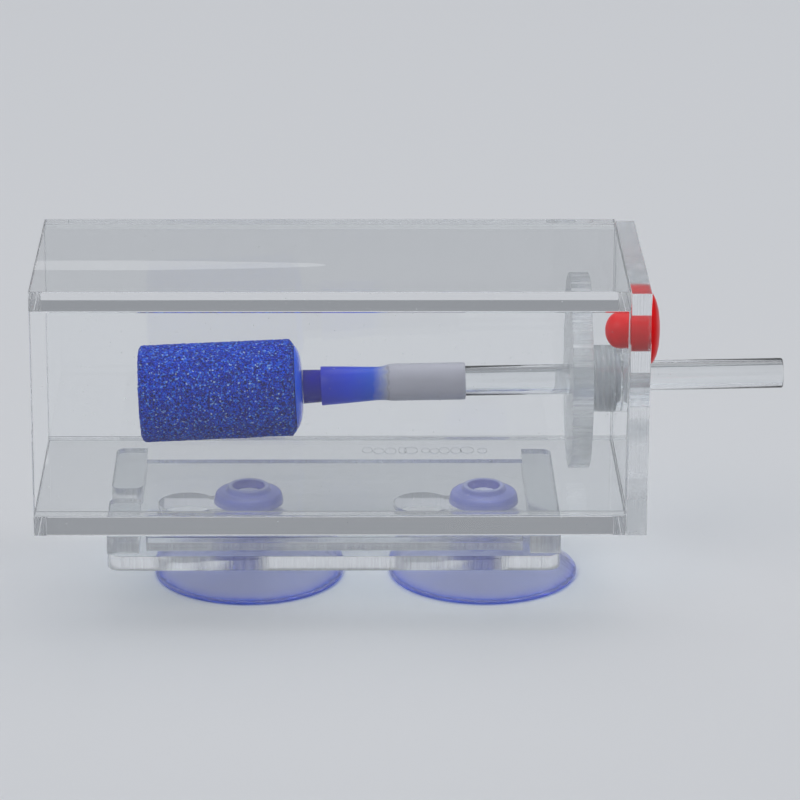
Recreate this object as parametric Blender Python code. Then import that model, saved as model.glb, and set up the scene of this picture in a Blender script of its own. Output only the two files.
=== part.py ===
"""Clear acrylic aeration chamber with a sliding air tube, a screw gland and two suction cups.

Every dimension is in millimetres in the chamber's own frame and becomes metres
in the part's frame by `place`. Chamber frame: x runs from the open left end to
the end plate, y runs away from the front face, z is up from the floor's
underside. The part's frame has its origin at the bottom centre of the whole.
"""
import math

import bmesh
import bpy
from mathutils import Matrix, Vector

# ---- driving dimensions, millimetres ----
WALL = 4.0                 # acrylic sheet of the chamber
BODY_L = 116.0             # tube body, open left end to end plate
BODY_H = 50.0
BODY_D = 50.0
GLUE = 0.1                 # seam between bonded panels
END_H = 49.6               # end plate stands a little lower than the body
FIT = 0.3                  # gap round anything that comes apart

AXIS_Y = 25.0              # gland axis
AXIS_Z = 24.6
AXIS_X = 112.75            # point where the tilted air tube crosses the gland axis
TUBE_SLOPE = 0.0185        # tube sags to the left, mm per mm
STONE_SLOPE = 0.046        # stone and nipple sag more
STONE_REF = (69.0, 23.62)  # x, z of a point on the stone's axis

TUBE_OD, TUBE_ID = 6.0, 4.0
TUBE_X = (70.4, 148.4)

DISC_OD, DISC_X = 36.0, (105.5, 109.5)
STEM_OD, STEM_X = 9.6, (109.6, 113.4)
BOSS_OD, BOSS_ID, BOSS_X = 13.4, 10.2, (109.8, 115.9)
WASHER_X = (113.6, 114.0)
O_RING_X, O_RING_CORD = 115.0, 1.6
GLAND_BORE = 7.0           # hole round the tube in disc, stem, washer and end plate

PLUG_Y, PLUG_Z = 10.0, 39.5
PLUG_STEM_D, PLUG_HOLE_D = 6.9, 7.4
PLUG_FLANGE_D, PLUG_DOME_D = 14.0, 7.2

STONE_X, STONE_OD, STONE_BORE = (20.1, 51.0), 19.5, 5.0
STONE_BORE_X = 26.0
CAP_X = (51.1, 52.5)
NIPPLE_X = (52.6, 67.8)
NIPPLE_ID = 2.6
COUPLER_X = (56.2, 84.9)

PLATE_T = 3.0
PLATE_X, PLATE_Y = (14.2, 103.2), (-1.3, 48.7)
PLATE_TOP = -3.8
SPACER_T = 3.8
TAB_W = 6.3
FRONT_TAB_Y, REAR_TAB_Y = (0.0, 15.6), (21.2, 45.3)
STRIP_X, STRIP_Y = (97.2, 103.2), (0.0, 44.6)
BAR_X, BAR_Y, BAR_T = (21.8, 95.9), (1.4, 8.5), 3.0
CORNER_R = 3.0
KEY_HOLE_X, KEY_HOLE_D = (29.3, 76.5), 11.5
KEY_NECK_X, KEY_SLOT_W = (41.6, 88.8), 7.6
KEY_Y, CUP_Y = 23.1, 23.4

CUP_R = 19.0
CUP_RIM_Z = -16.4
CUP_NECK_R = 3.4

MIN_X, MAX_X = 0.0, TUBE_X[1]
MIN_Y, MAX_Y = PLATE_Y[0], BODY_D
ORIGIN = Vector(((MIN_X + MAX_X) / 2, (MIN_Y + MAX_Y) / 2, CUP_RIM_Z))

MATERIALS = {
    "clear_acrylic": (0.90, 0.93, 0.95, 1.0),
    "red_silicone": (0.72, 0.03, 0.04, 1.0),
    "frosted_silicone": (0.78, 0.79, 0.84, 1.0),
    "blue_stone": (0.03, 0.09, 0.50, 1.0),
    "blue_plastic": (0.02, 0.12, 0.75, 1.0),
    "lilac_vinyl": (0.38, 0.42, 0.85, 1.0),
}


def place(x, y, z):
    """Chamber frame in millimetres to the part's frame in metres."""
    return (Vector((x, y, z)) - ORIGIN) * 0.001


def finish_node(name, bm, material):
    """Weld, face outwards, and make the node."""
    bmesh.ops.remove_doubles(bm, verts=bm.verts, dist=1e-7)
    bmesh.ops.recalc_face_normals(bm, faces=bm.faces)
    mesh = bpy.data.meshes.new(name)
    bm.to_mesh(mesh)
    bm.free()
    slot = bpy.data.materials.get(material)
    if slot is None:
        slot = bpy.data.materials.new(material)
        slot.diffuse_color = MATERIALS[material]
    mesh.materials.append(slot)
    node = bpy.data.objects.new(name, mesh)
    bpy.context.scene.collection.objects.link(node)
    return node


def slab(name, x, y, z, material="clear_acrylic"):
    """Cuboid from three (low, high) ranges."""
    bm = bmesh.new()
    size = (Vector((x[1], y[1], z[1])) - Vector((x[0], y[0], z[0]))) * 0.001
    centre = place(sum(x) / 2, sum(y) / 2, sum(z) / 2)
    bmesh.ops.create_cube(bm, size=1.0, matrix=Matrix.Translation(centre) @ Matrix.Diagonal((*size, 1.0)))
    return finish_node(name, bm, material)


def circle(cx, cy, radius, count=48, start=0.0, end=2 * math.pi, closed=True):
    """Points of a circle, or of an arc that keeps both its ends."""
    steps = count if closed else count - 1
    return [(cx + radius * math.cos(start + (end - start) * i / steps),
             cy + radius * math.sin(start + (end - start) * i / steps)) for i in range(count)]


def rounded_rect(x, y, radii, count=7):
    """Rectangle with its own radius at each corner: low-low, high-low, high-high, low-high."""
    corners = ((x[0], y[0], math.pi), (x[1], y[0], 1.5 * math.pi), (x[1], y[1], 0.0), (x[0], y[1], 0.5 * math.pi))
    inward = ((1, 1), (-1, 1), (-1, -1), (1, -1))
    points = []
    for (px, py, angle), (sx, sy), radius in zip(corners, inward, radii):
        if radius < 1e-6:
            points.append((px, py))
        else:
            points += circle(px + sx * radius, py + sy * radius, radius, count, angle, angle + math.pi / 2, False)
    return points


def keyhole(hole_x, neck_x):
    """Round hole that runs into a narrower slot towards +x."""
    big, half = KEY_HOLE_D / 2, KEY_SLOT_W / 2
    meet = math.asin(half / big)
    hole = circle(hole_x, KEY_Y, big, 33, meet, 2 * math.pi - meet, False)
    seat = circle(neck_x, KEY_Y, half, 17, -math.pi / 2, math.pi / 2, False)
    return hole + seat


def prism(name, loops, axis, low, high, material="clear_acrylic"):
    """Straight prism of an outline with holes; loops[0] is the outline."""
    def at(a, b, h):
        return place(a, b, h) if axis == "z" else place(h, a, b)

    bm = bmesh.new()
    rims = []
    for height in (low, high):
        rings = []
        for loop in loops:
            verts = [bm.verts.new(at(a, b, height)) for a, b in loop]
            for one, two in zip(verts, verts[1:] + verts[:1]):
                bm.edges.new((one, two))
            rings.append(verts)
        rims.append(rings)
        edges = [bm.edges.get((v, w)) for ring in rings for v, w in zip(ring, ring[1:] + ring[:1])]
        bmesh.ops.triangle_fill(bm, use_beauty=True, use_dissolve=False, edges=edges)
    for ring_low, ring_high in zip(*rims):
        for i, vert in enumerate(ring_low):
            j = (i + 1) % len(ring_low)
            bm.faces.new((vert, ring_low[j], ring_high[j], ring_high[i]))
    return finish_node(name, bm, material)


def lathe(name, profile, path, material, count=48):
    """Turned solid: profile is a loop of (station, radius) and path gives the
    centre and direction at a station. A radius of 0 is a pole."""
    bm = bmesh.new()
    rings = []
    for station, radius in profile:
        centre, along = path(station)
        side = Vector((0, 1, 0)) if abs(along.y) < 0.9 else Vector((1, 0, 0))
        up = along.cross(side).normalized()
        side = up.cross(along).normalized()
        if radius < 1e-9:
            rings.append([bm.verts.new(place(*centre))])
        else:
            rings.append([bm.verts.new(place(*(centre + radius * (math.cos(a) * side + math.sin(a) * up))))
                          for a in (2 * math.pi * i / count for i in range(count))])
    for one, two in zip(rings, rings[1:] + rings[:1]):
        if len(one) == 1 and len(two) == 1:
            continue
        for i in range(count):
            j = (i + 1) % count
            if len(one) == 1:
                bm.faces.new((one[0], two[j], two[i]))
            elif len(two) == 1:
                bm.faces.new((one[i], one[j], two[0]))
            else:
                bm.faces.new((one[i], one[j], two[j], two[i]))
    return finish_node(name, bm, material)


def ring_profile(x, outer, inner):
    """Plain bush between two stations."""
    return [(x[0], outer / 2), (x[1], outer / 2), (x[1], inner / 2), (x[0], inner / 2)]


def gland_path(x):
    return Vector((x, AXIS_Y, AXIS_Z)), Vector((1, 0, 0))


def plug_path(x):
    return Vector((x, PLUG_Y, PLUG_Z)), Vector((1, 0, 0))


def tube_path(x):
    return (Vector((x, AXIS_Y, AXIS_Z + TUBE_SLOPE * (x - AXIS_X))),
            Vector((1, 0, TUBE_SLOPE)).normalized())


def stone_path(x):
    return (Vector((x, AXIS_Y, STONE_REF[1] + STONE_SLOPE * (x - STONE_REF[0]))),
            Vector((1, 0, STONE_SLOPE)).normalized())


def coupler_path(x):
    """Follows the nipple on the left, the tube on the right, and bends between."""
    t = min(max((x - NIPPLE_X[1]) / (TUBE_X[0] - NIPPLE_X[1]), 0.0), 1.0)
    t = t * t * (3 - 2 * t)
    left, left_dir = stone_path(x)
    right, right_dir = tube_path(x)
    return left.lerp(right, t), left_dir.lerp(right_dir, t).normalized()


def cup_path(cup_x):
    return lambda z: (Vector((cup_x, CUP_Y, z)), Vector((0, 0, 1)))


def cup_profile():
    """Suction cup: mushroom head, neck, flared skirt with a hollow underside."""
    rim = CUP_RIM_Z
    head = [(-1.7, 0.0), (-1.7, 2.5), (-0.5, 2.85), (-0.1, 3.35), (-0.1, 3.8), (-0.35, 4.2), (-1.1, 4.38),
            (-1.3, 5.0), (-1.65, 6.25), (-2.2, 6.75), (-2.9, 6.95), (-3.3, 6.95), (PLATE_TOP + 0.25, 6.6)]
    neck = [(PLATE_TOP + 0.25, CUP_NECK_R), (PLATE_TOP - PLATE_T - 0.25, CUP_NECK_R)]
    skirt_top = PLATE_TOP - PLATE_T - 0.25
    skirt = [(skirt_top, 5.4), (skirt_top - 0.7, 6.2), (skirt_top - 1.9, 8.2), (skirt_top - 3.5, 11.0),
             (skirt_top - 5.3, 14.2), (skirt_top - 6.9, 17.0), (rim + 1.1, CUP_R - 0.25), (rim + 0.75, CUP_R),
             (rim + 0.3, CUP_R - 0.05), (rim, CUP_R - 0.4)]
    under = [(rim, CUP_R - 0.9), (rim + 0.9, 16.9), (rim + 2.2, 14.4), (rim + 3.7, 11.2),
             (rim + 5.0, 8.0), (rim + 5.7, 5.0), (rim + 5.9, 2.4), (rim + 5.9, 0.0)]
    return head + neck + skirt + under


for leftover in list(bpy.data.objects):
    bpy.data.objects.remove(leftover)

# chamber: floor and roof run the full depth, front and back stand between them
body_x = (0.0, BODY_L - GLUE)
between = (WALL + GLUE, BODY_H - WALL - GLUE)
slab("bottom_panel", body_x, (0.0, BODY_D), (0.0, WALL))
slab("top_panel", body_x, (0.0, BODY_D), (BODY_H - WALL, BODY_H))
slab("front_panel", body_x, (0.0, WALL), between)
slab("back_panel", body_x, (BODY_D - WALL, BODY_D), between)
prism("end_plate",
      [rounded_rect((0.0, BODY_D), (0.0, END_H), (0, 0, 0, 0)),
       circle(AXIS_Y, AXIS_Z, GLAND_BORE / 2), circle(PLUG_Y, PLUG_Z, PLUG_HOLE_D / 2)],
      "x", BODY_L, BODY_L + WALL)

# screw gland round the air tube
lathe("gland_boss", ring_profile(BOSS_X, BOSS_OD, BOSS_ID), gland_path, "clear_acrylic")
lathe("gland_disc", [(DISC_X[0], DISC_OD / 2 - 0.3), (DISC_X[0] + 0.3, DISC_OD / 2), (DISC_X[1] - 0.3, DISC_OD / 2),
                     (DISC_X[1], DISC_OD / 2 - 0.3), (DISC_X[1], GLAND_BORE / 2), (DISC_X[0], GLAND_BORE / 2)],
      gland_path, "clear_acrylic", 72)
lathe("gland_stem", ring_profile(STEM_X, STEM_OD, GLAND_BORE), gland_path, "clear_acrylic")
lathe("gland_washer", ring_profile(WASHER_X, STEM_OD, GLAND_BORE), gland_path, "clear_acrylic")
cord_r = O_RING_CORD / 2
lathe("gland_o_ring",
      [(O_RING_X + cord_r * math.cos(a), (TUBE_OD / 2 + FIT) + cord_r + cord_r * math.sin(a))
       for a in (2 * math.pi * i / 16 for i in range(16))],
      gland_path, "frosted_silicone")

# air line: rigid tube, soft coupler, nipple and stone
lathe("air_tube", ring_profile(TUBE_X, TUBE_OD, TUBE_ID), tube_path, "clear_acrylic")
lathe("hose_coupler",
      [(56.2, 3.85), (56.5, 3.9), (60.0, 3.72), (64.0, 3.5), (67.2, 3.36), (68.0, 3.36), (68.7, 3.42), (69.4, 3.56),
       (70.1, 3.69), (71.0, 3.73), (77.0, 3.73), (84.4, 3.73), (84.8, 3.69), (84.9, 3.6),
       (84.9, 3.08), (70.4, 3.08), (69.3, 2.9), (68.0, 2.72), (64.0, 2.94), (60.0, 3.14), (56.2, 3.34)],
      coupler_path, "frosted_silicone")
lathe("stone_nipple",
      [(NIPPLE_X[0], 3.4), (56.1, 3.26), (60.0, 3.07), (64.0, 2.87), (67.4, 2.68), (67.8, 2.45),
       (67.8, NIPPLE_ID / 2), (NIPPLE_X[0], NIPPLE_ID / 2)],
      stone_path, "blue_plastic")
lathe("stone_end_cap",
      [(CAP_X[0], 8.4), (51.5, 7.85), (51.85, 7.2), (52.1, 6.6), (52.3, 5.6), (52.45, 4.5), (CAP_X[1], 3.6),
       (CAP_X[1], NIPPLE_ID / 2), (CAP_X[0], NIPPLE_ID / 2)],
      stone_path, "blue_plastic")
stone_r = STONE_OD / 2
lathe("air_stone",
      [(STONE_X[0], 0.0), (STONE_X[0], stone_r - 1.5), (STONE_X[0] + 0.4, stone_r - 0.6), (STONE_X[0] + 1.2, stone_r),
       (STONE_X[1] - 0.8, stone_r), (STONE_X[1] - 0.35, stone_r - 0.45), (STONE_X[1], stone_r - 1.2),
       (STONE_X[1], STONE_BORE / 2), (STONE_BORE_X, STONE_BORE / 2), (STONE_BORE_X, 0.0)],
      stone_path, "blue_stone", 64)

# vent plug: flange outside, stem through the end plate, dome inside
plug_face = BODY_L + WALL + 0.1
stem_r, dome_r = PLUG_STEM_D / 2, PLUG_DOME_D / 2
lathe("vent_plug",
      [(111.6, 0.0), (111.7, 1.1), (112.1, 2.2), (112.9, 3.1), (114.2, dome_r), (115.5, dome_r),
       (115.8, stem_r), (plug_face, stem_r), (plug_face, PLUG_FLANGE_D / 2), (plug_face + 0.6, PLUG_FLANGE_D / 2),
       (plug_face + 1.2, 6.3), (plug_face + 1.7, 5.0), (plug_face + 2.1, 3.0), (plug_face + 2.2, 0.0)],
      plug_path, "red_silicone")

# bracket: spacers bonded under the floor, keyhole plate under the spacers
spacer_z = (-SPACER_T + GLUE, -GLUE)
left_x = (PLATE_X[0], PLATE_X[0] + TAB_W)
prism("tab_front_left", [rounded_rect(left_x, FRONT_TAB_Y, (0, 0, 2.0, 2.0))], "z", *spacer_z)
prism("tab_rear_left", [rounded_rect(left_x, REAR_TAB_Y, (2.0, 2.0, 0, 2.0))], "z", *spacer_z)
prism("strip_right", [rounded_rect(STRIP_X, STRIP_Y, (0, 0, 2.0, 0))], "z", *spacer_z)
slab("front_bar", BAR_X, BAR_Y, (PLATE_TOP + GLUE, PLATE_TOP + BAR_T))
prism("bracket_plate",
      [rounded_rect(PLATE_X, PLATE_Y, (CORNER_R,) * 4)]
      + [keyhole(hole, neck) for hole, neck in zip(KEY_HOLE_X, KEY_NECK_X)],
      "z", PLATE_TOP - PLATE_T, PLATE_TOP)

for side, cup_x in zip(("left", "right"), KEY_NECK_X):
    lathe(f"suction_cup_{side}", cup_profile(), cup_path(cup_x), "lilac_vinyl", 64)
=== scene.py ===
"""Looks of the clear acrylic aeration chamber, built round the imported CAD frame.

Lengths are millimetres in the chamber's own frame (x from the open end, y from
the front face, z from the floor's underside) and `place` turns them into the
row's metres.
"""
import math
import random

import bmesh
import bpy
from mathutils import Matrix, Vector, noise


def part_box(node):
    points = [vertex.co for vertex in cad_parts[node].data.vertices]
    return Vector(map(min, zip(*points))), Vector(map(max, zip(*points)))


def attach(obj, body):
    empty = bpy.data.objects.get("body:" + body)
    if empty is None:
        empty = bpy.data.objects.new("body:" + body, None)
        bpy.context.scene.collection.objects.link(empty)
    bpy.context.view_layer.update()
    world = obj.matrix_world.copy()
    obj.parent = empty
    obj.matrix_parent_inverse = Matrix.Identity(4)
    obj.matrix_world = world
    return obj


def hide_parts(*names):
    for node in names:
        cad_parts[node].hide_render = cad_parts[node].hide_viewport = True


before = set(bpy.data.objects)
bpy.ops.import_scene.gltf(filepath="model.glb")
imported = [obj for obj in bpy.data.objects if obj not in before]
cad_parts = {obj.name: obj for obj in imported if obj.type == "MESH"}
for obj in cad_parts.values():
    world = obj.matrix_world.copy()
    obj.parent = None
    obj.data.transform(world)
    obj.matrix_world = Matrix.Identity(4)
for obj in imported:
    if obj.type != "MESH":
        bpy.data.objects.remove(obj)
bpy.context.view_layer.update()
CORNER = Vector(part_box("bottom_panel")[0])

# sizes in chamber millimetres
AXIS_X, AXIS_Y, AXIS_Z = 112.75, 25.0, 24.6    # the gland's axis, at the end plate
GLAND_BORE_R = 3.5
PLUG_Y, PLUG_Z, PLUG_HOLE_R = 10.0, 39.5, 3.56
KEY_Y, KEY_HOLE_D, KEY_SLOT_W = 23.1, 11.5, 7.6
KEY_HOLE_X, KEY_NECK_X = (29.3, 76.5), (41.6, 88.8)
CUP_Y, CUP_R = 23.4, 19.0
PITCH_MM, THREAD_DEPTH = 1.25, 0.5
BOSS_THREAD_R, STEM_THREAD_R = 5.02, 4.86      # outer radii of the matching threads
RIM_TICKS = 288                                # striations round the gland disc's rim
TUBE_X = (70.4, 148.4)
NIPPLE_END = 67.8
STONE_X, STONE_R = (20.1, 51.0), 9.66
STONE_BORE_X, STONE_BORE_R = 26.0, 2.5

ACRYLIC_IOR = 1.49
DUST_SCALE, DUST_SIZE = 420.0, 0.036


def place(x, y, z):
    """Chamber frame in millimetres to the row's frame in metres."""
    return CORNER + Vector((x, y, z)) * 0.001


def extent(node):
    """A CAD node's box in chamber millimetres, as three (low, high) pairs."""
    low, high = (Vector(corner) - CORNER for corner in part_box(node))
    return [(low[i] * 1000, high[i] * 1000) for i in range(3)]


# ---- camera: the photo's angle ----
FOCAL_MM = 186.93
EYE = place(57.76, -761.96, 287.28)
PITCH, YAW, ROLL = math.radians(18.784), math.radians(-1.0325), math.radians(0.283)

camera_data = bpy.data.cameras.new("camera")
camera_data.lens = FOCAL_MM
camera_data.sensor_width = 36.0
camera_data.clip_start = 0.05
camera = bpy.data.objects.new("camera", camera_data)
bpy.context.scene.collection.objects.link(camera)
forward = Vector((-math.sin(YAW) * math.cos(PITCH), math.cos(YAW) * math.cos(PITCH), -math.sin(PITCH)))
right_level = Vector((math.cos(YAW), math.sin(YAW), 0))
up_level = right_level.cross(forward)
right = right_level * math.cos(ROLL) + up_level * math.sin(ROLL)
up = up_level * math.cos(ROLL) - right_level * math.sin(ROLL)
camera.matrix_world = Matrix.Translation(EYE) @ Matrix((right, up, -forward)).transposed().to_4x4()
bpy.context.scene.camera = camera


# ---- materials ----
def new_material(name):
    material = bpy.data.materials.new(name)
    material.use_nodes = True
    tree = material.node_tree
    return material, tree, tree.nodes["Principled BSDF"], tree.nodes["Material Output"]


def set_shader(shader, **values):
    for key, value in values.items():
        shader.inputs[key.replace("_", " ")].default_value = value


def object_coords(tree):
    return tree.nodes.new("ShaderNodeTexCoord").outputs["Object"]


def stretched(tree, vector, scale):
    mapping = tree.nodes.new("ShaderNodeMapping")
    mapping.inputs["Scale"].default_value = scale
    tree.links.new(vector, mapping.inputs["Vector"])
    return mapping.outputs["Vector"]


def noise_factor(tree, vector, scale, detail=3.0, roughness=0.55):
    node = tree.nodes.new("ShaderNodeTexNoise")
    node.inputs["Scale"].default_value = scale
    node.inputs["Detail"].default_value = detail
    node.inputs["Roughness"].default_value = roughness
    tree.links.new(vector, node.inputs["Vector"])
    return node.outputs["Fac"]


def ramp(tree, factor, stops, mode="LINEAR"):
    node = tree.nodes.new("ShaderNodeValToRGB")
    node.color_ramp.interpolation = mode
    elements = node.color_ramp.elements
    while len(elements) < len(stops):
        elements.new(0.5)
    for element, (position, colour) in zip(elements, stops):
        element.position = position
        element.color = colour if len(colour) == 4 else (*colour, 1.0)
    tree.links.new(factor, node.inputs["Fac"])
    return node.outputs["Color"]


def add_bump(tree, shader, height, strength, distance):
    node = tree.nodes.new("ShaderNodeBump")
    node.inputs["Strength"].default_value = strength
    node.inputs["Distance"].default_value = distance
    tree.links.new(height, node.inputs["Height"])
    tree.links.new(node.outputs["Normal"], shader.inputs["Normal"])


def grey(level):
    return (level, level, level)


def blend(tree, amount, first, second):
    """Mixes two shaders: the first where amount is 0, the second where it is 1."""
    mix = tree.nodes.new("ShaderNodeMixShader")
    tree.links.new(amount, mix.inputs["Fac"])
    tree.links.new(first, mix.inputs[1])
    tree.links.new(second, mix.inputs[2])
    return mix.outputs["Shader"]


def multiply(tree, colour, layer):
    mix = tree.nodes.new("ShaderNodeMix")
    mix.data_type, mix.blend_type = "RGBA", "MULTIPLY"
    mix.inputs["Factor"].default_value = 1.0
    tree.links.new(colour, mix.inputs["A"])
    tree.links.new(layer, mix.inputs["B"])
    return mix.outputs["Result"]


def separate_axes(tree, coords):
    split = tree.nodes.new("ShaderNodeSeparateXYZ")
    tree.links.new(coords, split.inputs["Vector"])
    return split


def map_range(tree, value, low, high):
    """0 at low and 1 at high."""
    span = tree.nodes.new("ShaderNodeMapRange")
    span.inputs["From Min"].default_value = low
    span.inputs["From Max"].default_value = high
    tree.links.new(value, span.inputs["Value"])
    return span.outputs["Result"]


def uneven_range(tree, value, waver, reach, low, high):
    """map_range with its levels shifted by a noise of the given reach."""
    shift = tree.nodes.new("ShaderNodeMath")
    shift.operation = "MULTIPLY_ADD"
    shift.inputs[1].default_value = reach
    tree.links.new(waver, shift.inputs[0])
    tree.links.new(value, shift.inputs[2])
    return map_range(tree, shift.outputs["Value"], low, high)


def diffuse(tree, colour):
    node = tree.nodes.new("ShaderNodeBsdfDiffuse")
    node.inputs["Color"].default_value = (*colour, 1.0)
    return node


def pass_lamps(tree, shader_socket, output, tint):
    """Lets lamp light through a clear wall, so what it encloses is lit."""
    path = tree.nodes.new("ShaderNodeLightPath")
    clear = tree.nodes.new("ShaderNodeBsdfTransparent")
    clear.inputs["Color"].default_value = (*tint, 1.0)
    mixed = blend(tree, path.outputs["Is Shadow Ray"], shader_socket, clear.outputs["BSDF"])
    tree.links.new(mixed, output.inputs["Surface"])


def specks(tree, coords, scale, size):
    """Small dust spots, as a 0 to 1 mask."""
    node = tree.nodes.new("ShaderNodeTexVoronoi")
    node.inputs["Scale"].default_value = scale
    tree.links.new(coords, node.inputs["Vector"])
    return ramp(tree, node.outputs["Distance"], [(size, grey(1)), (size * 1.5, grey(0))])


def acrylic(name, dust=0.55):
    """Polished clear sheet: faintly wavy, with specks of dust."""
    material, tree, shader, output = new_material(name)
    coords = object_coords(tree)
    set_shader(shader, Base_Color=(0.985, 0.992, 0.995, 1), Roughness=0.0, IOR=ACRYLIC_IOR,
               Transmission_Weight=1.0)
    waves = noise_factor(tree, stretched(tree, coords, (14, 60, 60)), 1.0, 1.0)
    add_bump(tree, shader, waves, 0.008, 0.0006)
    amount = tree.nodes.new("ShaderNodeMath")
    amount.operation = "MULTIPLY"
    amount.inputs[1].default_value = dust
    tree.links.new(specks(tree, coords, DUST_SCALE, DUST_SIZE), amount.inputs[0])
    dirt = diffuse(tree, (0.95, 0.96, 0.98))
    mixed = blend(tree, amount.outputs["Value"], shader.outputs["BSDF"], dirt.outputs["BSDF"])
    pass_lamps(tree, mixed, output, (0.91, 0.925, 0.935))
    return material


def cut_acrylic(name, scale, roughness=0.32, white=0.35, strength=0.6, sharp=(0.38, 0.68)):
    """Sawn or laser-cut edge: clear body, fine marks, a whitish bloom."""
    material, tree, shader, output = new_material(name)
    coords = object_coords(tree)
    marks = noise_factor(tree, stretched(tree, coords, scale), 1.0, 4.0, 0.6)
    set_shader(shader, Base_Color=(0.97, 0.98, 0.99, 1), Roughness=roughness, IOR=ACRYLIC_IOR,
               Transmission_Weight=1.0)
    add_bump(tree, shader, marks, strength, 0.0002)
    bloom = tree.nodes.new("ShaderNodeBsdfDiffuse")
    tint = ramp(tree, marks, [(0.40, (0.45, 0.46, 0.48)), (0.62, (0.92, 0.94, 0.96))])
    tree.links.new(tint, bloom.inputs["Color"])
    amount = ramp(tree, marks, [(sharp[0], grey(white * 0.25)), (sharp[1], grey(min(1.0, white * 1.75)))])
    mixed = blend(tree, amount, shader.outputs["BSDF"], bloom.outputs["BSDF"])
    pass_lamps(tree, mixed, output, (0.70, 0.72, 0.74))
    return material


ACRYLIC = acrylic("acrylic_polished")
ACRYLIC_TUBE = acrylic("acrylic_tube", 0.8)
CUT_SAWN = cut_acrylic("acrylic_sawn_end", (300, 2500, 2500), white=0.5)
CUT_LASER = cut_acrylic("acrylic_laser_edge", (2600, 2600, 40), roughness=0.09, white=0.09, strength=0.4)
CUT_RIM = cut_acrylic("acrylic_disc_rim", (40, 1500, 1500), roughness=0.25, white=0.26, strength=0.8,
                      sharp=(0.42, 0.58))
THREAD = cut_acrylic("acrylic_thread", (12000, 12000, 12000), roughness=0.22, white=0.5, strength=0.05,
                     sharp=(0.1, 0.9))
MOTTLED = cut_acrylic("acrylic_mottled_face", (1500, 1500, 1500), roughness=0.22, white=0.30, strength=0.35,
                      sharp=(0.44, 0.58))


def bond_line():
    """Solvent-bonded edge: light goes on into the next sheet, past a faint haze."""
    material, tree, shader, output = new_material("acrylic_bonded_seam")
    haze = noise_factor(tree, stretched(tree, object_coords(tree), (6, 900, 900)), 1.0, 3.0)
    set_shader(shader, Base_Color=(0.86, 0.88, 0.90, 1), Roughness=0.5)
    clear = tree.nodes.new("ShaderNodeBsdfTransparent")
    amount = ramp(tree, haze, [(0.35, grey(0.08)), (0.7, grey(0.34))])
    mixed = blend(tree, amount, clear.outputs["BSDF"], shader.outputs["BSDF"])
    tree.links.new(mixed, output.inputs["Surface"])
    return material


BOND = bond_line()


def frosted_by_height():
    """The end plate's cut edge: clear higher up, frosted over its lowest stretch."""
    material, tree, shader, output = new_material("acrylic_edge_frost")
    coords = object_coords(tree)
    marks = noise_factor(tree, stretched(tree, coords, (2600, 2600, 40)), 1.0, 4.0, 0.6)
    set_shader(shader, Base_Color=(0.97, 0.98, 0.99, 1), Roughness=0.07, IOR=ACRYLIC_IOR,
               Transmission_Weight=1.0)
    add_bump(tree, shader, marks, 0.35, 0.0002)
    height = separate_axes(tree, coords).outputs["Z"]
    ragged = noise_factor(tree, coords, 900.0, 4.0, 0.7)
    level = uneven_range(tree, height, ragged, 0.0035, place(0, 0, 0).z, place(0, 0, 20).z)
    amount = ramp(tree, level, [
        (0.0, grey(0.45)), (0.12, grey(0.24)), (0.45, grey(0.22)), (0.60, grey(0.75)), (0.70, grey(0.55)),
        (0.76, grey(0.08)), (1.0, grey(0.05))])
    bloom = diffuse(tree, (0.92, 0.94, 0.96))
    mixed = blend(tree, amount, shader.outputs["BSDF"], bloom.outputs["BSDF"])
    pass_lamps(tree, mixed, output, (0.9, 0.91, 0.92))
    return material


def stone_material():
    """Bonded blue grains: each grain its own shade, with painted shade darkening the gaps between grains and pale
    grains painted as glints.
    """
    material, tree, shader, _ = new_material("stone_blue_grains")
    coords = object_coords(tree)
    cells = tree.nodes.new("ShaderNodeTexVoronoi")
    cells.inputs["Scale"].default_value = 3300.0
    tree.links.new(coords, cells.inputs["Vector"])
    split = tree.nodes.new("ShaderNodeSeparateColor")
    tree.links.new(cells.outputs["Color"], split.inputs["Color"])
    # each grain gets its own tone at random; the palest stops are painted glints
    shade = ramp(tree, split.outputs["Red"], [
        (0.0, (0.0, 0.004, 0.14)), (0.22, (0.0, 0.014, 0.38)), (0.52, (0.0, 0.054, 0.80)),
        (0.80, (0.004, 0.125, 1.0)), (0.91, (0.04, 0.26, 1.0)), (0.96, (0.18, 0.46, 1.0)),
        (1.0, (0.52, 0.76, 1.0))])
    # painted shade: darker towards the grain edges, where the gaps between grains lie in shade
    pit_shade = ramp(tree, cells.outputs["Distance"], [
        (0.2, grey(1)), (0.55, (0.75, 0.75, 0.78)), (0.85, (0.10, 0.14, 0.50))])
    cloud = ramp(tree, noise_factor(tree, coords, 330.0, 2.0), [(0.35, (0.78, 0.78, 0.82)), (0.65, grey(1))])
    shade = multiply(tree, multiply(tree, shade, pit_shade), cloud)
    tree.links.new(shade, shader.inputs["Base Color"])
    gloss = ramp(tree, split.outputs["Green"], [(0.0, grey(0.22)), (0.25, grey(0.6)), (1.0, grey(0.85))])
    tree.links.new(gloss, shader.inputs["Roughness"])
    set_shader(shader, Specular_IOR_Level=0.08)
    add_bump(tree, shader, cells.outputs["Distance"], 0.8, 0.0002)
    return material


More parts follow.
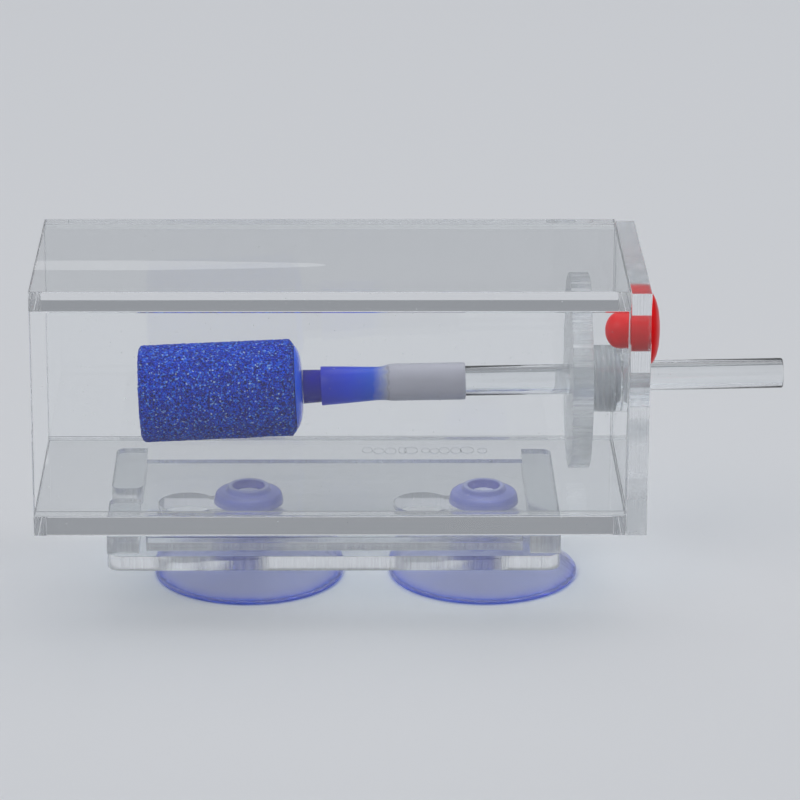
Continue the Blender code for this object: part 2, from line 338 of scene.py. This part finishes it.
def coupler_material():
    """Milky silicone that shows the blue nipple inside its left half; painted light makes its colour paler towards
    the bottom.
    """
    material, tree, shader, _ = new_material("silicone_frosted")
    coords = object_coords(tree)
    split = separate_axes(tree, coords)
    wobble = noise_factor(tree, coords, 900.0, 2.0)
    along = uneven_range(tree, split.outputs["X"], wobble, 0.0016, place(55.0, 0, 0).x, place(71.5, 0, 0).x)
    colour = ramp(tree, along, [
        (0.0, (0.008, 0.010, 0.66)), (0.45, (0.001, 0.060, 1.0)), (0.74, (0.001, 0.120, 1.0)),
        (0.86, (0.38, 0.45, 0.85)), (0.915, (0.60, 0.62, 0.76)), (0.93, (0.42, 0.42, 0.53)),
        (0.945, (0.68, 0.68, 0.79)), (1.0, (0.71, 0.71, 0.81))])
    # painted light: the base colour is paler towards the bottom, standing in for light from the floor coming
    # through the silicone
    height = map_range(tree, split.outputs["Z"], place(0, 0, 20.0).z, place(0, 0, 27.8).z)
    painted_floor_light = ramp(tree, height, [
        (0.0, grey(1)), (0.10, grey(0.88)), (0.35, grey(0.80)), (0.70, grey(0.68)), (1.0, grey(0.70))])
    tree.links.new(multiply(tree, colour, painted_floor_light), shader.inputs["Base Color"])
    set_shader(shader, Roughness=0.42, IOR=1.36, Transmission_Weight=0.08, Subsurface_Weight=0.25,
               Subsurface_Radius=(1, 1, 1), Subsurface_Scale=0.0010, Sheen_Weight=0.12, Sheen_Roughness=0.2,
               Coat_Weight=0.12, Coat_Roughness=0.25)
    add_bump(tree, shader, noise_factor(tree, coords, 5000.0, 3.0), 0.12, 0.0001)
    return material


def vinyl_material():
    """Lilac soft vinyl that gathers a clear blue at the thin rim."""
    material, tree, shader, output = new_material("vinyl_lilac")
    coords = object_coords(tree)
    cloud = noise_factor(tree, coords, 90.0, 2.0)
    height = uneven_range(tree, separate_axes(tree, coords).outputs["Z"], cloud, 0.0008, 0.0, 0.017)
    colour = ramp(tree, height, [
        (0.0, (0.06, 0.14, 1.0)), (0.045, (0.08, 0.17, 1.0)), (0.065, (0.48, 0.50, 0.95)),
        (0.10, (0.80, 0.80, 0.92)), (0.50, (0.84, 0.84, 0.92)), (1.0, (0.70, 0.71, 0.93))])
    tree.links.new(colour, shader.inputs["Base Color"])
    set_shader(shader, Roughness=0.12, IOR=1.45, Transmission_Weight=0.88)
    add_bump(tree, shader, noise_factor(tree, coords, 260.0, 2.0), 0.25, 0.0004)
    pass_lamps(tree, shader.outputs["BSDF"], output, (0.64, 0.68, 0.90))
    return material


def head_material():
    """The cup's head: lilac vinyl, paler where its steps and its foot gather light."""
    material, tree, shader, _ = new_material("vinyl_head")
    coords = object_coords(tree)
    waver = noise_factor(tree, coords, 260.0, 2.0)
    height = uneven_range(tree, separate_axes(tree, coords).outputs["Z"], waver, 0.0003,
                          place(0, 0, -3.6).z, place(0, 0, 0.1).z)
    # painted highlights: paler bands at the foot, at the step and at the top edge, where light falls on the head
    colour = ramp(tree, height, [
        (0.0, (0.58, 0.61, 1.0)), (0.20, (0.50, 0.53, 0.97)), (0.34, (0.33, 0.36, 0.90)),
        (0.54, (0.31, 0.34, 0.88)), (0.62, (0.42, 0.45, 0.94)), (0.70, (0.30, 0.33, 0.88)),
        (0.90, (0.34, 0.37, 0.90)), (0.97, (0.64, 0.67, 1.0))])
    tree.links.new(colour, shader.inputs["Base Color"])
    set_shader(shader, Roughness=0.10, IOR=1.45, Transmission_Weight=0.5)
    add_bump(tree, shader, noise_factor(tree, coords, 720.0), 0.10, 0.0002)
    return material


def solid_material(name, dark, light, roughness, scale=400.0, strength=0.05, **extra):
    """Moulded piece with faint cloudiness and skin texture."""
    material, tree, shader, _ = new_material(name)
    coords = object_coords(tree)
    colour = ramp(tree, noise_factor(tree, coords, scale), [(0.3, dark), (0.7, light)])
    tree.links.new(colour, shader.inputs["Base Color"])
    set_shader(shader, Roughness=roughness, **extra)
    add_bump(tree, shader, noise_factor(tree, coords, scale * 8), strength, 0.0002)
    return material


STONE = stone_material()
COUPLER = coupler_material()
EDGE_FROST = frosted_by_height()
VINYL = vinyl_material()
VINYL_HEAD = head_material()
# painted shade: the recess wall is a darker lilac than the rest of the head, as shade inside the hole
SHADED_RECESS_WALL = solid_material("vinyl_wall_painted_shade", (0.16, 0.16, 0.62), (0.22, 0.22, 0.72), 0.12, 90.0, 0.10,
                            IOR=1.45, Transmission_Weight=0.5)
VINYL_SEAT = solid_material("vinyl_recess", (0.74, 0.75, 0.92), (0.84, 0.85, 0.96), 0.35, 900.0, 0.3,
                            Transmission_Weight=0.3)
RED = solid_material("silicone_red", (0.78, 0.0, 0.002), (0.92, 0.001, 0.004), 0.34, 300.0, 0.06,
                     Specular_IOR_Level=0.18)
BLUE_CAP = solid_material("plastic_blue_gloss", (0.0, 0.09, 0.95), (0.002, 0.13, 1.0), 0.12, 300.0, 0.08,
                          Specular_IOR_Level=0.3)
BLUE_NIPPLE = solid_material("plastic_indigo", (0.002, 0.0, 0.24), (0.005, 0.001, 0.38), 0.16, 300.0, 0.05,
                             Specular_IOR_Level=0.2)
SEAL = solid_material("silicone_seal", (0.70, 0.72, 0.76), (0.80, 0.82, 0.86), 0.4, 300.0, 0.05,
                      Transmission_Weight=0.5)


# ---- mesh tools ----
def make_piece(name, bm, materials, body, nodes=(), smooth=None):
    """Makes the object, shades it and ties it to the frame."""
    bmesh.ops.remove_doubles(bm, verts=bm.verts, dist=1e-7)
    bmesh.ops.recalc_face_normals(bm, faces=bm.faces)
    mesh = bpy.data.meshes.new(name)
    bm.to_mesh(mesh)
    bm.free()
    for material in materials:
        mesh.materials.append(material)
    if smooth is not None:
        mesh.polygons.foreach_set("use_smooth", [True] * len(mesh.polygons))
        mesh.set_sharp_from_angle(angle=math.radians(smooth))
    piece = bpy.data.objects.new(name, mesh)
    bpy.context.scene.collection.objects.link(piece)
    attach(piece, body)
    if nodes:
        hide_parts(*nodes)
    return piece


def bevel_sharp(bm, width_mm, angle=30.0):
    edges = [e for e in bm.edges if len(e.link_faces) == 2 and e.calc_face_angle(0) > math.radians(angle)]
    bmesh.ops.bevel(bm, geom=edges, offset=width_mm * 0.001, segments=1, affect="EDGES", clamp_overlap=True)


def slab(node, cut_axes=(0,), cut=CUT_SAWN, bevel=0.12, bond_axis=None):
    """A panel in its CAD box, its cut and bonded faces in their own materials."""
    spans = extent(node)
    bm = bmesh.new()
    low, high = (place(*(s[i] for s in spans)) for i in (0, 1))
    to_box = Matrix.Translation((low + high) / 2) @ Matrix.Diagonal((*(high - low), 1.0))
    bmesh.ops.create_cube(bm, size=1.0, matrix=to_box)
    bevel_sharp(bm, bevel)
    for face in bm.faces:
        face.normal_update()
        if any(abs(face.normal[axis]) > 0.9 for axis in cut_axes):
            face.material_index = 1
        elif bond_axis is not None and abs(face.normal[bond_axis]) > 0.9:
            face.material_index = 2
    return make_piece(f"{node}_sheet", bm, [ACRYLIC, cut, BOND], "chamber", [node])


def circle(cx, cy, radius, count=64, start=0.0, end=2 * math.pi, closed=True):
    steps = count if closed else count - 1
    return [(cx + radius * math.cos(start + (end - start) * i / steps),
             cy + radius * math.sin(start + (end - start) * i / steps)) for i in range(count)]


def rounded_rect(x, y, radii, count=9):
    """Rectangle with one radius per corner, counted from its low corner."""
    corners = ((x[0], y[0], math.pi), (x[1], y[0], 1.5 * math.pi),
               (x[1], y[1], 0.0), (x[0], y[1], 0.5 * math.pi))
    inward = ((1, 1), (-1, 1), (-1, -1), (1, -1))
    points = []
    for (px, py, angle), (sx, sy), radius in zip(corners, inward, radii):
        if radius < 1e-6:
            points.append((px, py))
        else:
            points += circle(px + sx * radius, py + sy * radius, radius, count,
                             angle, angle + math.pi / 2, False)
    return points


def keyhole(hole_x, neck_x):
    """Round hole that runs into a narrower slot towards +x."""
    big, half = KEY_HOLE_D / 2, KEY_SLOT_W / 2
    meet = math.asin(half / big)
    hole = circle(hole_x, KEY_Y, big, 49, meet, 2 * math.pi - meet, False)
    return hole + circle(neck_x, KEY_Y, half, 25, -math.pi / 2, math.pi / 2, False)


def prism(name, loops, axis, low, high, nodes, cut=CUT_LASER):
    """Sheet cut to an outline with holes; its edges get the cut material."""
    def at(a, b, h):
        return place(a, b, h) if axis == "z" else place(h, a, b)

    bm = bmesh.new()
    rims = []
    for height in (low, high):
        rings = []
        for loop in loops:
            verts = [bm.verts.new(at(a, b, height)) for a, b in loop]
            for one, two in zip(verts, verts[1:] + verts[:1]):
                bm.edges.new((one, two))
            rings.append(verts)
        rims.append(rings)
        edges = [bm.edges.get((v, w)) for ring in rings for v, w in zip(ring, ring[1:] + ring[:1])]
        bmesh.ops.triangle_fill(bm, use_beauty=True, use_dissolve=False, edges=edges)
    for ring_low, ring_high in zip(*rims):
        for i, vert in enumerate(ring_low):
            j = (i + 1) % len(ring_low)
            bm.faces.new((vert, ring_low[j], ring_high[j], ring_high[i])).material_index = 1
    bmesh.ops.recalc_face_normals(bm, faces=bm.faces)
    bevel_sharp(bm, 0.1, 60.0)
    return make_piece(name, bm, [ACRYLIC, cut], "chamber", nodes, 40)


def lathe(bm, profile, path, count=96, radius_at=None):
    """Turned surface added to bm; profile is a loop of (station, radius, material)."""
    rings, slots = [], []
    for station, radius, *rest in profile:
        centre, along = path(station)
        side = Vector((0, 1, 0)) if abs(along.y) < 0.9 else Vector((1, 0, 0))
        up_dir = along.cross(side).normalized()
        side = up_dir.cross(along).normalized()
        slots.append(rest[0] if rest else 0)
        if radius < 1e-9:
            rings.append([bm.verts.new(place(*centre))])
            continue
        ring = []
        for i in range(count):
            a = 2 * math.pi * i / count
            r = radius if radius_at is None else radius_at(station, radius, a)
            ring.append(bm.verts.new(place(*(centre + r * (math.cos(a) * side + math.sin(a) * up_dir)))))
        rings.append(ring)
    for one, two, index in zip(rings, rings[1:] + rings[:1], slots):
        if len(one) == 1 and len(two) == 1:
            continue
        for i in range(count):
            j = (i + 1) % count
            if len(one) == 1:
                face = bm.faces.new((one[0], two[j], two[i]))
            elif len(two) == 1:
                face = bm.faces.new((one[i], one[j], two[0]))
            else:
                face = bm.faces.new((one[i], one[j], two[j], two[i]))
            face.material_index = index
    return bm


def turned(name, profile, path, materials, body, nodes, count=96, radius_at=None, smooth=38):
    bm = lathe(bmesh.new(), profile, path, count, radius_at)
    return make_piece(name, bm, materials, body, nodes, smooth)


# ---- axes of the turned pieces ----
TUBE_SLOPE, STONE_SLOPE = 0.0185, 0.046
STONE_REF = (69.0, 23.62)    # x and z of a point on the stone's axis


def gland_path(x):
    return Vector((x, AXIS_Y, AXIS_Z)), Vector((1, 0, 0))


def plug_path(x):
    return Vector((x, PLUG_Y, PLUG_Z)), Vector((1, 0, 0))


def tube_path(x):
    return Vector((x, AXIS_Y, AXIS_Z + TUBE_SLOPE * (x - AXIS_X))), Vector((1, 0, TUBE_SLOPE)).normalized()


def stone_path(x):
    return (Vector((x, AXIS_Y, STONE_REF[1] + STONE_SLOPE * (x - STONE_REF[0]))),
            Vector((1, 0, STONE_SLOPE)).normalized())


def coupler_path(x):
    """The stone's axis up to the nipple's end, then bending over to the tube's."""
    t = min(max((x - NIPPLE_END) / (TUBE_X[0] - NIPPLE_END), 0.0), 1.0)
    t = t * t * (3 - 2 * t)
    left, left_dir = stone_path(x)
    right_end, right_dir = tube_path(x)
    return left.lerp(right_end, t), left_dir.lerp(right_dir, t).normalized()


# ---- chamber ----
for panel, bond_axis in (("bottom_panel", None), ("top_panel", None), ("front_panel", 2), ("back_panel", 2)):
    slab(panel, bond_axis=bond_axis)

end = extent("end_plate")
prism("end_plate_sheet",
      [rounded_rect(end[1], end[2], (0, 0, 0, 0)), circle(AXIS_Y, AXIS_Z, GLAND_BORE_R),
       circle(PLUG_Y, PLUG_Z, PLUG_HOLE_R)],
      "x", *end[0], ["end_plate"], EDGE_FROST)


def oval_ring(bm, centre, long, deep, thick=0.12, around=18, sides=6):
    """Oval torus that lies flat: half lengths long in x and deep in y."""
    rings = []
    for i in range(around):
        a = 2 * math.pi * i / around
        middle = centre + Vector((long * math.cos(a), deep * math.sin(a), 0))
        out = Vector((math.cos(a), math.sin(a), 0))
        ring = []
        for k in range(sides):
            b = 2 * math.pi * k / sides
            ring.append(bm.verts.new(place(*(middle + thick * (math.cos(b) * out + Vector((0, 0, math.sin(b))))))))
        rings.append(ring)
    for one, two in zip(rings, rings[1:] + rings[:1]):
        for k in range(sides):
            j = (k + 1) % sides
            bm.faces.new((one[k], one[j], two[j], two[k]))


def glue_bubbles():
    """Row of oval bubble marks just under the floor, near its back edge."""
    first, last = 65.6, 91.0
    bm = bmesh.new()
    marks = random.Random(11)
    x = first
    while x < last:
        long, deep = marks.uniform(0.75, 1.35), marks.uniform(1.4, 2.0)
        oval_ring(bm, Vector((x, marks.uniform(43.3, 43.9), -0.13)), long, deep)
        x += 2 * long + marks.uniform(0.1, 0.5)
    make_piece("glue_seam_bubbles", bm, [ACRYLIC], "chamber", smooth=60)


glue_bubbles()

# ---- bracket ----
for name, radii in (("tab_front_left", (0, 0, 2.0, 2.0)), ("tab_rear_left", (2.0, 2.0, 0, 2.0)),
                    ("strip_right", (0, 0, 2.0, 0))):
    span = extent(name)
    prism(f"{name}_sheet", [rounded_rect(span[0], span[1], radii)], "z", *span[2], [name])

slab("front_bar", (0, 1), CUT_LASER, 0.1)
plate = extent("bracket_plate")
prism("bracket_plate_sheet",
      [rounded_rect(plate[0], plate[1], (3.0,) * 4)] + [keyhole(*pair) for pair in zip(KEY_HOLE_X, KEY_NECK_X)],
      "z", *plate[2], ["bracket_plate"])


# ---- screw gland ----
def thread_wave(x, angle):
    """Triangle wave of a right-hand thread, 0 at the thread's outer radius and 1 at its inner."""
    phase = (x / PITCH_MM - angle / (2 * math.pi)) % 1.0
    return 1.0 - abs(2 * phase - 1)


def threaded(outer):
    """Radius rule: the thread waves inward where the profile is at outer, and the rest stays."""
    return lambda x, r, angle: r - THREAD_DEPTH * thread_wave(x, angle) if abs(r - outer) < 1e-6 else r


def stations(low, high, step):
    count = max(2, int(round((high - low) / step)) + 1)
    return [low + (high - low) * i / (count - 1) for i in range(count)]


boss = extent("gland_boss")[0]
thread_end = boss[0] + 5.0
bore = [(x, BOSS_THREAD_R, 2) for x in reversed(stations(boss[0] + 0.1, thread_end, 0.12))]
turned("gland_boss_turned",
       [(boss[0], 5.2, 1), (boss[0], 6.5, 0), (boss[0] + 0.2, 6.7, 0), (boss[1], 6.7, 1), (boss[1], 5.1, 0),
        (thread_end + 0.1, 5.1, 0)] + bore,
       gland_path, [ACRYLIC, CUT_RIM, THREAD], "chamber", ["gland_boss"], 72,
       threaded(BOSS_THREAD_R))

disc = extent("gland_disc")[0]
ridges = random.Random(5)
RIM_MARKS = [ridges.uniform(-1, 1) for _ in range(RIM_TICKS)]


def disc_radius(x, r, a):
    """The laser's striations run straight across the rim."""
    tick = int(round(a / (2 * math.pi) * RIM_TICKS)) % RIM_TICKS
    return r + 0.05 * RIM_MARKS[tick] if r > 17.5 else r


turned("gland_disc_sheet",
       [(disc[0], 17.75, 1), (disc[0] + 0.2, 17.9, 1), (disc[1] - 0.2, 17.9, 1), (disc[1], 17.75, 0),
        (disc[1], GLAND_BORE_R, 1), (disc[0], GLAND_BORE_R, 2), (disc[0], 15.5, 2)],
       gland_path, [ACRYLIC, CUT_RIM, MOTTLED], "nut", ["gland_disc"], RIM_TICKS, disc_radius)
stem = extent("gland_stem")[0]
turned("gland_stem_threaded",
       [(stem[0], 4.85, 1)] + [(x, STEM_THREAD_R, 1) for x in stations(stem[0] + 0.1, stem[1] - 0.1, 0.1)]
       + [(stem[1], 4.3, 0), (stem[1], GLAND_BORE_R, 0), (stem[0], GLAND_BORE_R, 0)],
       gland_path, [ACRYLIC, THREAD], "nut", ["gland_stem"], 72, threaded(STEM_THREAD_R))

for node_name, material in (("gland_washer", ACRYLIC), ("gland_o_ring", SEAL)):
    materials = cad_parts[node_name].data.materials
    materials.clear()
    materials.append(material)

# ---- air line ----
turned("air_tube_drawn",
       [(TUBE_X[0], 2.85), (TUBE_X[0] + 0.15, 3.0), (TUBE_X[1] - 0.25, 3.0), (TUBE_X[1] - 0.05, 2.85),
        (TUBE_X[1], 2.6), (TUBE_X[1], 2.3), (TUBE_X[1] - 0.15, 2.0), (TUBE_X[0] + 0.1, 2.0), (TUBE_X[0], 2.15)],
       tube_path, [ACRYLIC_TUBE], "air_line", ["air_tube"], 96, smooth=50)
turned("hose_coupler_silicone",
       [(56.2, 3.82), (56.35, 3.9), (58.0, 3.83), (60.0, 3.73), (62.0, 3.62), (64.0, 3.51), (66.0, 3.4),
        (67.2, 3.35), (68.0, 3.36), (68.7, 3.43), (69.4, 3.56), (70.1, 3.69), (71.0, 3.73), (74.0, 3.71),
        (80.0, 3.73), (84.3, 3.73), (84.7, 3.69), (84.9, 3.58), (84.9, 3.12), (84.7, 3.05), (TUBE_X[0], 3.05),
        (69.3, 2.9), (68.0, 2.72), (64.0, 2.92), (60.0, 3.12), (56.2, 3.31)],
       coupler_path, [COUPLER], "air_line", ["hose_coupler"], 96, smooth=50)
turned("stone_nipple_moulded",
       [(52.6, 3.4), (56.1, 3.26), (60.0, 3.07), (64.0, 2.87), (67.3, 2.69), (67.7, 2.5), (NIPPLE_END, 2.2),
        (NIPPLE_END, 1.3), (52.6, 1.3)],
       stone_path, [BLUE_NIPPLE], "air_line", ["stone_nipple"], 72, smooth=50)
turned("stone_end_cap_moulded",
       [(51.1, 8.3), (51.2, 8.35), (51.35, 8.15), (51.6, 7.75), (51.85, 7.25), (52.05, 6.7), (52.2, 6.1),
        (52.35, 5.2), (52.45, 4.3), (52.5, 3.5), (52.5, 1.3), (51.1, 1.3)],
       stone_path, [BLUE_CAP], "air_line", ["stone_end_cap"], 96, smooth=50)


def stone_piece():
    """Cylinder of bonded grains, each a small bump in the surface."""
    (x0, x1), r0, corner = STONE_X, STONE_R, 1.3
    outline = [(x0, 0.0)] + [(x0, r) for r in stations(0.3, r0 - corner, 0.3)]
    for k in range(1, 5):
        a = math.pi / 10 * k
        outline.append((x0 + 1.0 * (1 - math.cos(a)), r0 - corner + corner * math.sin(a)))
    outline += [(x, r0) for x in stations(x0 + 1.0, x1 - 0.85, 0.2)]
    outline += [(x1 - 0.6, r0 - 0.3), (x1 - 0.35, r0 - 0.6), (x1 - 0.1, r0 - 0.9), (x1, r0 - 1.15)]
    outline += [(x1, r) for r in reversed(stations(STONE_BORE_R, r0 - 1.6, 0.6))]
    outline += [(STONE_BORE_X, STONE_BORE_R), (STONE_BORE_X, 0.0)]
    bm = lathe(bmesh.new(), outline, stone_path, 300)
    bmesh.ops.remove_doubles(bm, verts=bm.verts, dist=1e-7)
    bmesh.ops.recalc_face_normals(bm, faces=bm.faces)
    bm.normal_update()
    scatter = random.Random(3)
    jog_size, grain_scale, smooth_radius = 0.00006, 1900, 0.0028
    for vert in bm.verts:
        jog = Vector([scatter.uniform(-1, 1) for _ in range(3)])
        vert.co += (jog - jog.dot(vert.normal) * vert.normal) * jog_size
        near, _ = noise.voronoi(vert.co * grain_scale)
        lift = 0.09 - 0.26 * min(near[0], 0.8) + 0.05 * noise.noise(vert.co * 500)
        centre, along = stone_path((vert.co - CORNER).x * 1000)
        off = vert.co - place(*centre)
        off -= off.dot(along) * along
        if off.length > smooth_radius:    # the bore keeps its smooth wall
            vert.co += vert.normal * lift * 0.001
    return make_piece("air_stone_grains", bm, [STONE], "air_line", ["air_stone"], 180)


stone_piece()

# ---- vent plug ----
turned("vent_plug_moulded",
       [(111.6, 0.0), (111.62, 0.5), (111.7, 1.05), (111.9, 1.65), (112.2, 2.25), (112.6, 2.8), (113.1, 3.2),
        (113.7, 3.45), (114.4, 3.56), (115.2, 3.56), (115.7, 3.5), (116.0, 3.6), (120.1, 3.6), (120.1, 6.9),
        (120.15, 6.98), (120.4, 7.0), (120.7, 6.93), (121.1, 6.55), (121.6, 5.5), (122.0, 4.0), (122.22, 2.2),
        (122.3, 0.0)],
       plug_path, [RED], "plug", ["vent_plug"], 96, smooth=50)

# ---- suction cups ----
RIM_Z = extent("suction_cup_left")[2][0]


def cup(side, cup_x):
    """One cup: recess and stepped head, neck, outside of the bell, rim, hollow."""
    top = -7.05
    # the recess wall (slot 3) takes the painted-shade material
    recess = [(-1.7, 0.0, 2), (-1.7, 2.5, 3), (-1.6, 2.7, 3), (-0.6, 3.1, 3)]
    head = [(-0.25, 3.25, 1), (-0.12, 3.45, 1), (-0.08, 3.7, 1), (-0.15, 4.0, 1), (-0.35, 4.2, 1), (-0.75, 4.3, 1),
            (-1.1, 4.38, 1), (-1.25, 4.6, 1), (-1.3, 5.1, 1), (-1.36, 5.8, 1), (-1.5, 6.3, 1), (-1.8, 6.6, 1),
            (-2.4, 6.8, 1), (-3.2, 6.98, 1), (-3.6, 7.0, 1), (-3.72, 6.85, 1), (-3.72, 3.7, 1), (-3.7, 3.4, 1)]
    bell = [(-6.9, 3.4), (-7.05, 3.6), (top, 5.4), (top - 0.7, 6.2), (top - 1.9, 8.2), (top - 3.5, 11.0),
            (top - 5.3, 14.2), (top - 6.9, 17.0)]
    rim = [(RIM_Z + 1.1, CUP_R - 0.25), (RIM_Z + 0.75, CUP_R), (RIM_Z + 0.3, CUP_R - 0.05),
           (RIM_Z, CUP_R - 0.4), (RIM_Z, CUP_R - 0.9)]
    hollow = [(RIM_Z + 0.9, 16.9), (RIM_Z + 2.2, 14.4), (RIM_Z + 3.7, 11.2), (RIM_Z + 5.0, 8.0),
              (RIM_Z + 5.7, 5.0), (RIM_Z + 5.9, 2.4), (RIM_Z + 5.9, 0.0)]
    turned(f"suction_cup_{side}_vinyl", recess + head + bell + rim + hollow,
           lambda z: (Vector((cup_x, CUP_Y, z)), Vector((0, 0, 1))),
           [VINYL, VINYL_HEAD, VINYL_SEAT, SHADED_RECESS_WALL], f"cup_{side}", [f"suction_cup_{side}"], 128,
           smooth=50)


for side, neck_x in zip(("left", "right"), KEY_NECK_X):
    cup(side, neck_x)

# ---- stage: pale floor, soft light ----
FLOOR_HALF, FLOOR_GAP = 3.0, 0.00005    # metres; the gap keeps the cups' rims off the floor's face

bm = bmesh.new()
bmesh.ops.create_grid(bm, x_segments=1, y_segments=1, size=FLOOR_HALF)
floor_mesh = bpy.data.meshes.new("floor")
bm.to_mesh(floor_mesh)
bm.free()
floor = bpy.data.objects.new("floor", floor_mesh)
floor.location.z = -FLOOR_GAP
bpy.context.scene.collection.objects.link(floor)
floor_material, _, floor_shader, _ = new_material("floor_pale")
set_shader(floor_shader, Base_Color=(0.76, 0.77, 0.79, 1), Roughness=0.7)
floor_mesh.materials.append(floor_material)


def soft_light(name, position, target, size, power, shape="RECTANGLE"):
    data = bpy.data.lights.new(name, "AREA")
    data.shape = shape
    data.size, data.size_y = size
    data.energy = power
    lamp = bpy.data.objects.new(name, data)
    bpy.context.scene.collection.objects.link(lamp)
    lamp.location = position
    lamp.visible_transmission = False
    lamp.rotation_euler = (Vector(target) - Vector(position)).to_track_quat("-Z", "Y").to_euler()


soft_light("key", (-1.0, -1.0, 1.7), (0, 0, 0.03), (1.5, 1.1), 13.0)
soft_light("top", (0.3, 0.8, 1.8), (0, 0.1, 0.03), (1.8, 1.2), 14.0)
soft_light("side", (1.6, -0.4, 0.7), (0, 0, 0.04), (0.5, 0.9), 2.5)
# a faint long reflection on the top panel
soft_light("streak", (-0.118, 1.0, 0.3728), (-0.118, 0, 0.06), (0.2, 0.0042), 0.00086, "ELLIPSE")

world = bpy.data.worlds.new("studio")
world.use_nodes = True
background = world.node_tree.nodes["Background"]
background.inputs["Color"].default_value = (0.62, 0.65, 0.70, 1)
background.inputs["Strength"].default_value = 0.45
bpy.context.scene.world = world

# light runs through many clear walls, so the total, transmission, glossy and transparent bounces get the same high
# limit
BOUNCES = 24
bpy.context.scene.view_settings.view_transform = "Standard"
cycles = bpy.context.scene.cycles
cycles.max_bounces = BOUNCES
cycles.transmission_bounces = BOUNCES
cycles.glossy_bounces = BOUNCES
cycles.transparent_max_bounces = BOUNCES
